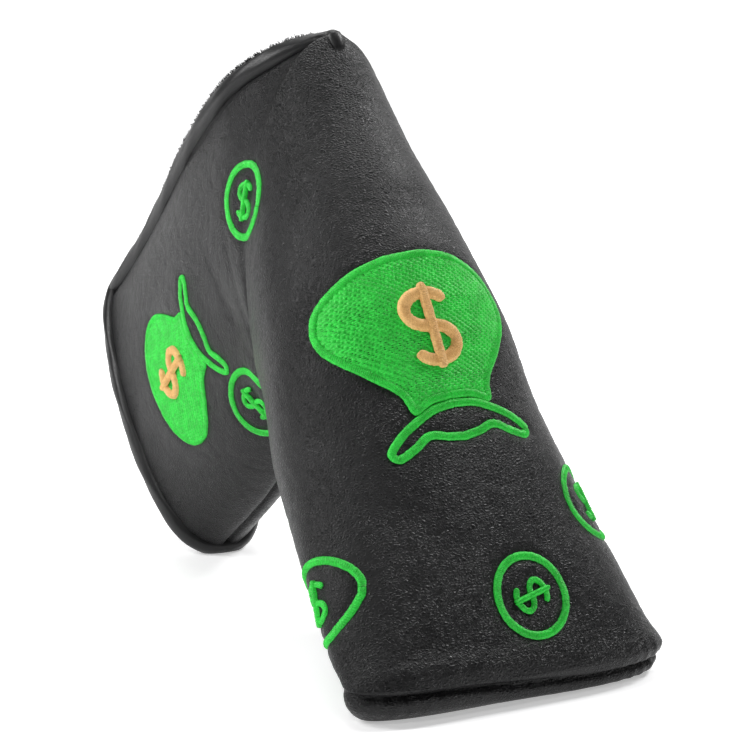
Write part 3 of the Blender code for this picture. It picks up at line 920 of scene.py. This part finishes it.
def quilted(points, normals, cloth):
    """The stitches pull the leather in along each sewn line."""
    places = []
    for frame, path, closed, reach in motif_lines():
        places.append(cloth.project(frame, evenly(path, 0.5, closed), reach)[0])
    places = np.vstack(places)
    tree = kdtree.KDTree(len(places))
    for index, place in enumerate(places.tolist()):
        tree.insert(place, index)
    tree.balance()
    distance = np.array([tree.find(point)[2] for point in points.tolist()]) / MM
    return points + normals * (groove(distance, QUILT_DEPTH, QUILT_REACH) * MM)[:, None]


# ---------------------------------------------------------------- the cover's layers


def both_sides(left):
    """Points and faces of a left side grid and its mirror image."""
    rows, columns = left.shape[:2]
    points = np.vstack([left.reshape(-1, 3), mirror(left).reshape(-1, 3)])
    faces = np.vstack([quads(rows, columns), quads(rows, columns, rows * columns, True)])
    return points, faces


def shell(outer, inner, first_open):
    """A closed layer: outer and inner faces, joined along the mouth and the neck's end."""
    rows, columns = outer.shape[:2]
    size = rows * columns
    index = np.arange(size).reshape(rows, columns)
    rim = np.concatenate([index[first_open:, -1], index[-1, ::-1][1:]])
    band = np.stack([rim[:-1], rim[:-1] + size, rim[1:] + size, rim[1:]], axis=-1)
    left_points = np.vstack([outer.reshape(-1, 3), inner.reshape(-1, 3)])
    left_faces = np.vstack([quads(rows, columns), quads(rows, columns, size, True), band])
    points = np.vstack([left_points, mirror(left_points)])
    faces = np.vstack([left_faces, left_faces[:, ::-1] + 2 * size])
    return points, faces


def make_leather(material):
    """The outer hide, and the surface that the motifs are sewn onto."""
    fine, columns = LEATHER_MESH
    left = left_grid(LEATHER[0], fine, columns)
    around = around_shares(columns)
    along = along_shares(fine)
    toe_row = len(left) - len(along)
    along_row = np.concatenate([np.full(toe_row, -1.0), along])
    normals = grid_normals(left)
    sides = []
    for side in (left, mirror(left)):
        facing = normals if side is left else mirror(normals)
        relief = leather_relief(side, along_row, around, toe_row)
        sides.append(side + facing * (relief * MM)[..., None])
    points = np.vstack([side.reshape(-1, 3) for side in sides])
    _, faces = both_sides(left)
    facing = vertex_normals(points, faces)
    cloth = Cloth(points, faces, facing)
    outer = quilted(points, facing, cloth)
    sewn_on = Cloth(outer, faces, facing)
    size = left.shape[0] * left.shape[1]
    inner = left_grid(LEATHER[1], fine, columns)
    first_open = toe_row + int(np.argmax(along > 1))
    all_points, shell_faces = shell(left, inner, first_open)
    all_points[:size] = outer[:size]
    all_points[2 * size : 3 * size] = outer[size:]
    nodes = {body: [f"{body}_leather"] for body in BODIES}
    pieces = make_sides("hide", all_points, shell_faces, material, nodes)
    return pieces, sewn_on


def make_layer(name, depths, mesh, material, tuft_height=0.0):
    """The foam or the plush lining. Tufts stand up from its inner face."""
    fine, columns = mesh
    outer = left_grid(depths[0], fine, columns)
    inner = left_grid(depths[1], fine, columns)
    if tuft_height:
        tufts = lines_noise(inner, (0.9, 0.9, 0.9), 7.0) + 0.6 * lines_noise(inner, (2.1, 2.1, 2.1), 1.0)
        inner = inner - grid_normals(inner) * (tuft_height * np.abs(tufts) * MM)[..., None]
    along = along_shares(fine)
    toe_row = len(outer) - len(along)
    first_open = toe_row + int(np.argmax(along > 1))
    points, faces = shell(outer, inner, first_open)
    nodes = {body: [f"{body}_{name}"] for body in BODIES}
    return make_sides(f"{name}_layer", points, faces, material, nodes)


def edge_line(steps=420):
    """Points on the left edge and their normals, from the neck's seam, round the corner, to the apex."""
    end = np.stack([np.full(60, 2.0), np.linspace(0, 1, 60)], axis=1)
    rim = 1 + np.linspace(1, 0, steps)[1:-1] ** 1.3
    rim = np.stack([rim, np.ones(steps - 2)], axis=1)
    places = np.vstack([end, rim, [[1.0, 1.0]]])
    points = surface(places[:, 0], places[:, 1])
    along = places[:, 0]
    around = places[:, 1]
    low = surface(along, np.maximum(around - 0.006, 0))
    high = surface(along, np.minimum(around + 0.006, 1))
    before = surface(np.maximum(along - 0.004, 0), around)
    after = surface(np.minimum(along + 0.004, 2), around)
    return points, unit(np.cross(high - low, after - before))


def edge_frames(step=0.45):
    """Evenly spaced points round the whole mouth, with the wall's normal and the way off its edge."""
    points, normals = edge_line()
    points[0, 0] = points[-1, 0] = 0
    loop = np.vstack([points, mirror(points[-2:0:-1])])
    facing = np.vstack([normals, mirror(normals[-2:0:-1])])
    closed = np.vstack([loop, loop[:1]])
    lengths = np.linalg.norm(np.diff(closed, axis=0), axis=1) / MM
    travelled = np.concatenate([[0], np.cumsum(lengths)])
    count = 2 * int(travelled[-1] / step / 2)
    stops = np.arange(count) * travelled[-1] / count
    centre = np.stack([np.interp(stops, travelled, closed[:, axis]) for axis in range(3)], axis=1)
    turned = np.vstack([facing, facing[:1]])
    normal = np.stack([np.interp(stops, travelled, turned[:, axis]) for axis in range(3)], axis=1)
    normal = unit(smoothed(unit(normal), 4, True))
    centre = smoothed(centre, 3, True)
    tangent = unit(np.roll(centre, -1, axis=0) - np.roll(centre, 1, axis=0))
    away = unit(np.cross(normal, tangent))
    return centre, normal, away, stops


def make_binding(material):
    """A strip of thin leather folded round the wall's edge, as one rounded band."""
    centre, normal, away, stops = edge_frames()
    count = len(centre)
    high = (BINDING_HEIGHT + BINDING_LAP) / 2
    outwards = (BINDING_PROUD - BINDING_SPARE) / 2
    wide = BINDING_THICKNESS / 2 + BINDING_SPARE + outwards
    middle = centre - normal * (WALL / 2 - outwards) * MM + away * (high - BINDING_LAP) * MM
    rings = []
    for side in range(BINDING_SIDES):
        angle = 2 * pi * (side + 0.5) / BINDING_SIDES
        up = np.sign(cos(angle)) * abs(cos(angle)) ** BINDING_SQUARE * high
        out = np.sign(sin(angle)) * abs(sin(angle)) ** BINDING_SQUARE * wide
        swell = 1 + 0.025 * np.sin(stops / 3.7 + side) + 0.02 * np.sin(stops / 1.9 + 2 * side)
        rings.append(middle + away * (up * swell * MM)[:, None] + normal * (out * swell * MM)[:, None])
    points = np.array(rings).transpose(1, 0, 2).reshape(-1, 3)
    index = np.arange(count * BINDING_SIDES).reshape(count, BINDING_SIDES)
    index = np.vstack([index, index[:1]])
    index = np.hstack([index, index[:, :1]])
    corners = [index[:-1, :-1], index[:-1, 1:], index[1:, 1:], index[1:, :-1]]
    faces = np.stack(corners, axis=-1).reshape(-1, 4)
    nodes = {
        "pocket": ["binding_apex", "binding_neck"],
        "flap_left": ["binding_left"],
        "flap_right": ["binding_right"],
    }
    make_sides("binding_strip", points, faces, material, nodes)


def strands(roots, directions, lengths, widths, random):
    """Tapered hairs as thin three-sided spikes, bent a little at their middle."""
    count = len(roots)
    helper = unit(np.cross(directions, random.normal(size=(count, 3))))
    other = unit(np.cross(directions, helper))
    bend = roots + directions * (lengths * 0.5)[:, None]
    tip = bend + unit(directions + helper * 0.5) * (lengths * 0.5)[:, None]
    points = []
    for level, size in ((roots, 1.0), (bend, 0.75)):
        for corner in range(3):
            angle = 2 * pi * corner / 3
            ring = helper * cos(angle) + other * sin(angle)
            points.append(level + ring * (widths * size / 2)[:, None])
    points.append(tip)
    points = np.array(points).transpose(1, 0, 2).reshape(-1, 3)
    faces = []
    base = np.arange(count) * 7
    for corner in range(3):
        following = (corner + 1) % 3
        low = (corner, following, 3 + following, 3 + corner)
        high = (3 + corner, 3 + following, 6, 6)
        for corners in (low, high):
            faces.append(np.stack([base + step for step in corners], axis=-1))
    return points, np.concatenate(faces)


def fringe_hairs(random):
    """Hairs that stand above the binding along the mouth's rim."""
    centre, normal, away, _ = edge_frames()
    along_spine = (centre - to_world(0, 0, 0)) @ np.array(direction(0, 1, 0))
    rim = np.flatnonzero(along_spine > RIM_FROM * MM)
    which = rim[random.integers(0, len(rim), FRINGE_HAIRS)]
    out = random.uniform(-WALL, 0.8, FRINGE_HAIRS)
    up = BINDING_HEIGHT - 0.3 - 0.25 * np.abs(out + 1.8)
    roots = centre[which] + normal[which] * (out * MM)[:, None] + away[which] * (up * MM)[:, None]
    lean = away[which] * 0.7 + normal[which] * (0.45 + 0.16 * out)[:, None]
    lean = unit(lean + random.normal(scale=0.3, size=(FRINGE_HAIRS, 3)))
    lengths = random.uniform(1.5, 2.7, FRINGE_HAIRS) * MM
    return strands(roots, lean, lengths, random.uniform(0.14, 0.26, FRINGE_HAIRS) * MM, random)


def inner_hairs(random):
    """Hairs on the lining's face inside the mouth and the neck."""
    along = 0.86 + 1.13 * random.uniform(0, 1, INNER_HAIRS)
    around = 1 - 0.75 * random.uniform(0, 1, INNER_HAIRS) ** 1.3
    side = np.where(random.uniform(0, 1, INNER_HAIRS) < 0.5, -1.0, 1.0)
    flip = np.stack([-side, np.ones(INNER_HAIRS), np.ones(INNER_HAIRS)], axis=1)
    roots = surface(along, around, WALL)
    inwards = unit(surface(along, around, WALL + 1.0) - roots)
    lean = unit(inwards * flip + random.normal(scale=0.45, size=(INNER_HAIRS, 3)))
    lengths = random.uniform(1.2, 2.2, INNER_HAIRS) * MM
    return strands(roots * flip, lean, lengths, random.uniform(0.2, 0.34, INNER_HAIRS) * MM, random)


def make_pile(material):
    """The plush's pile: a fringe above the binding, and hairs inside."""
    random = np.random.default_rng(4)
    fringe = fringe_hairs(random)
    points, faces = joined([fringe, inner_hairs(random)])
    make_sides("pile", points, faces, material, {})


def make_tape(name, place, body, lining, material):
    """A strip of hook or loop tape inside a flap's corner."""
    frame = place_frame(*place)
    width, length = TAPE_SIZE
    xs = np.linspace(-width / 2, width / 2, 40)
    ys = np.linspace(-length / 2, length / 2, 116)
    flat = np.stack(np.meshgrid(xs, ys), axis=-1).reshape(-1, 2)
    found, normals = lining.project(frame, flat, TAPE_REACH)
    weave = 0.12 * np.abs(np.sin(pi * flat[:, 0] / 0.55) * np.sin(pi * flat[:, 1] / 0.55))
    edge = np.minimum(width / 2 - np.abs(flat[:, 0]), length / 2 - np.abs(flat[:, 1]))
    lift = np.where(edge < 0.01, -0.2, 0.75 + weave * (edge > 0.8))
    points = found - normals * (lift * MM)[:, None]
    piece = make_mesh(name + "_strip", points, quads(len(ys), len(xs)))
    finish_piece(piece, body, material, [name])


# ---------------------------------------------------------------- studio


def make_floor():
    """A pale floor that glows more away from the cover, so that it stays white to the horizon."""
    bpy.ops.mesh.primitive_plane_add(size=60, location=(0, 0, -0.0002))
    floor = bpy.context.object
    floor.name = "studio_floor"
    nodes = Nodes("pale_floor", (0.9, 0.9, 0.905), 0.7)
    reach = nodes.add("ShaderNodeVectorMath", operation="LENGTH")
    nodes.join(nodes.place.outputs["Vector"], reach.inputs[0])
    far = nodes.ramp(reach.outputs["Value"], 120, 700, 0.42, 1.0)
    nodes.join(far, nodes.shader.inputs["Emission Strength"])
    nodes.set(Emission_Color=(1, 1, 1, 1))
    floor.data.materials.append(nodes.material)


def away_from_cover(azimuth, elevation):
    """The direction from the cover to what looks at it from these angles, in degrees."""
    turn = radians(azimuth)
    rise = radians(elevation)
    return Vector((sin(turn) * cos(rise), -cos(turn) * cos(rise), sin(rise)))


def make_light(name, azimuth, elevation, distance, size, power):
    """A softbox that faces the cover."""
    back = away_from_cover(azimuth, elevation)
    light = bpy.data.lights.new(name, "AREA")
    light.energy = power
    light.shape = "RECTANGLE"
    light.size = size[0]
    light.size_y = size[1]
    item = bpy.data.objects.new(name, light)
    item.location = Vector(AIM) + back * distance
    item.rotation_euler = (-back).to_track_quat("-Z", "Y").to_euler()
    bpy.context.scene.collection.objects.link(item)


def make_world():
    """White behind the cover as the camera sees it, dark everywhere else."""
    world = bpy.data.worlds.new("studio")
    bpy.context.scene.world = world
    world.use_nodes = True
    tree = world.node_tree
    background = tree.nodes["Background"]
    place = tree.nodes.new("ShaderNodeTexCoord")
    ahead = tree.nodes.new("ShaderNodeVectorMath")
    ahead.operation = "DOT_PRODUCT"
    turn = radians(AZIMUTH)
    ahead.inputs[1].default_value = (-sin(turn), cos(turn), 0)
    fade = tree.nodes.new("ShaderNodeMapRange")
    fade.interpolation_type = "SMOOTHSTEP"
    for key, value in (("From Min", 0.6), ("From Max", 0.85), ("To Min", 0.02), ("To Max", 1.2)):
        fade.inputs[key].default_value = value
    tree.links.new(place.outputs["Generated"], ahead.inputs[0])
    tree.links.new(ahead.outputs["Value"], fade.inputs["Value"])
    tree.links.new(fade.outputs["Result"], background.inputs["Strength"])
    background.inputs["Color"].default_value = (1, 1, 1, 1)


def make_camera():
    back = away_from_cover(AZIMUTH, ELEVATION)
    camera = bpy.data.objects.new("camera", bpy.data.cameras.new("camera"))
    camera.data.lens = LENS
    camera.data.sensor_width = 36
    camera.location = Vector(AIM) + back * DISTANCE
    look = (-back).to_track_quat("-Z", "Y").to_matrix()
    roll = Matrix.Rotation(radians(ROLL), 3, "Z")
    camera.rotation_euler = (look @ roll).to_euler()
    bpy.context.scene.collection.objects.link(camera)
    bpy.context.scene.camera = camera


def make_studio():
    make_floor()
    make_world()
    make_light("key_softbox", 84, 50, 1.0, (0.2, 0.35), 6)
    make_light("left_softbox", -112, 34, 0.9, (0.25, 0.5), 5.5)
    make_light("front_softbox", -45, 42, 1.4, (0.2, 0.2), 3.2)
    make_light("top_softbox", 160, 70, 1.3, (0.7, 0.7), 8)
    bpy.context.scene.view_settings.view_transform = "Standard"
    make_camera()


# ---------------------------------------------------------------- the whole


def main():
    leather = leather_material()
    # each thread's first colour is its painted shade, its second its painted highlight
    green = thread_material("green_thread", (0.006, 0.36, 0.018), (0.03, 0.82, 0.07))
    gold = thread_material("gold_thread", (0.62, 0.32, 0.09), (0.95, 0.6, 0.24))
    plush = plush_material()
    hides, cloth = make_leather(leather)
    foams = make_layer("foam", FOAM, FOAM_MESH, foam_material())
    linings = make_layer("lining", LINING, LINING_MESH, plush, TUFT_HEIGHT)
    make_pile(plush)
    make_binding(binding_material())
    for index, (name, place) in enumerate(BAG_PLACES.items()):
        sew_bag(name, cloth, place, green, gold, 10 * index)
    for index, (name, place) in enumerate(COIN_PLACES.items()):
        sew_coin(name, cloth, place, green, 100 + 10 * index)
    lining_points, lining_faces = both_sides(left_grid(WALL, *FOAM_MESH))
    lining_cloth = Cloth(lining_points, lining_faces, vertex_normals(lining_points, lining_faces))
    tape = tape_material()
    for name, body in (("hook_tape", "flap_left"), ("loop_tape", "flap_right")):
        make_tape(name, TAPE_PLACES[name], body, lining_cloth, tape)
    make_studio()


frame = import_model()
main()
bpy.context.view_layer.update()
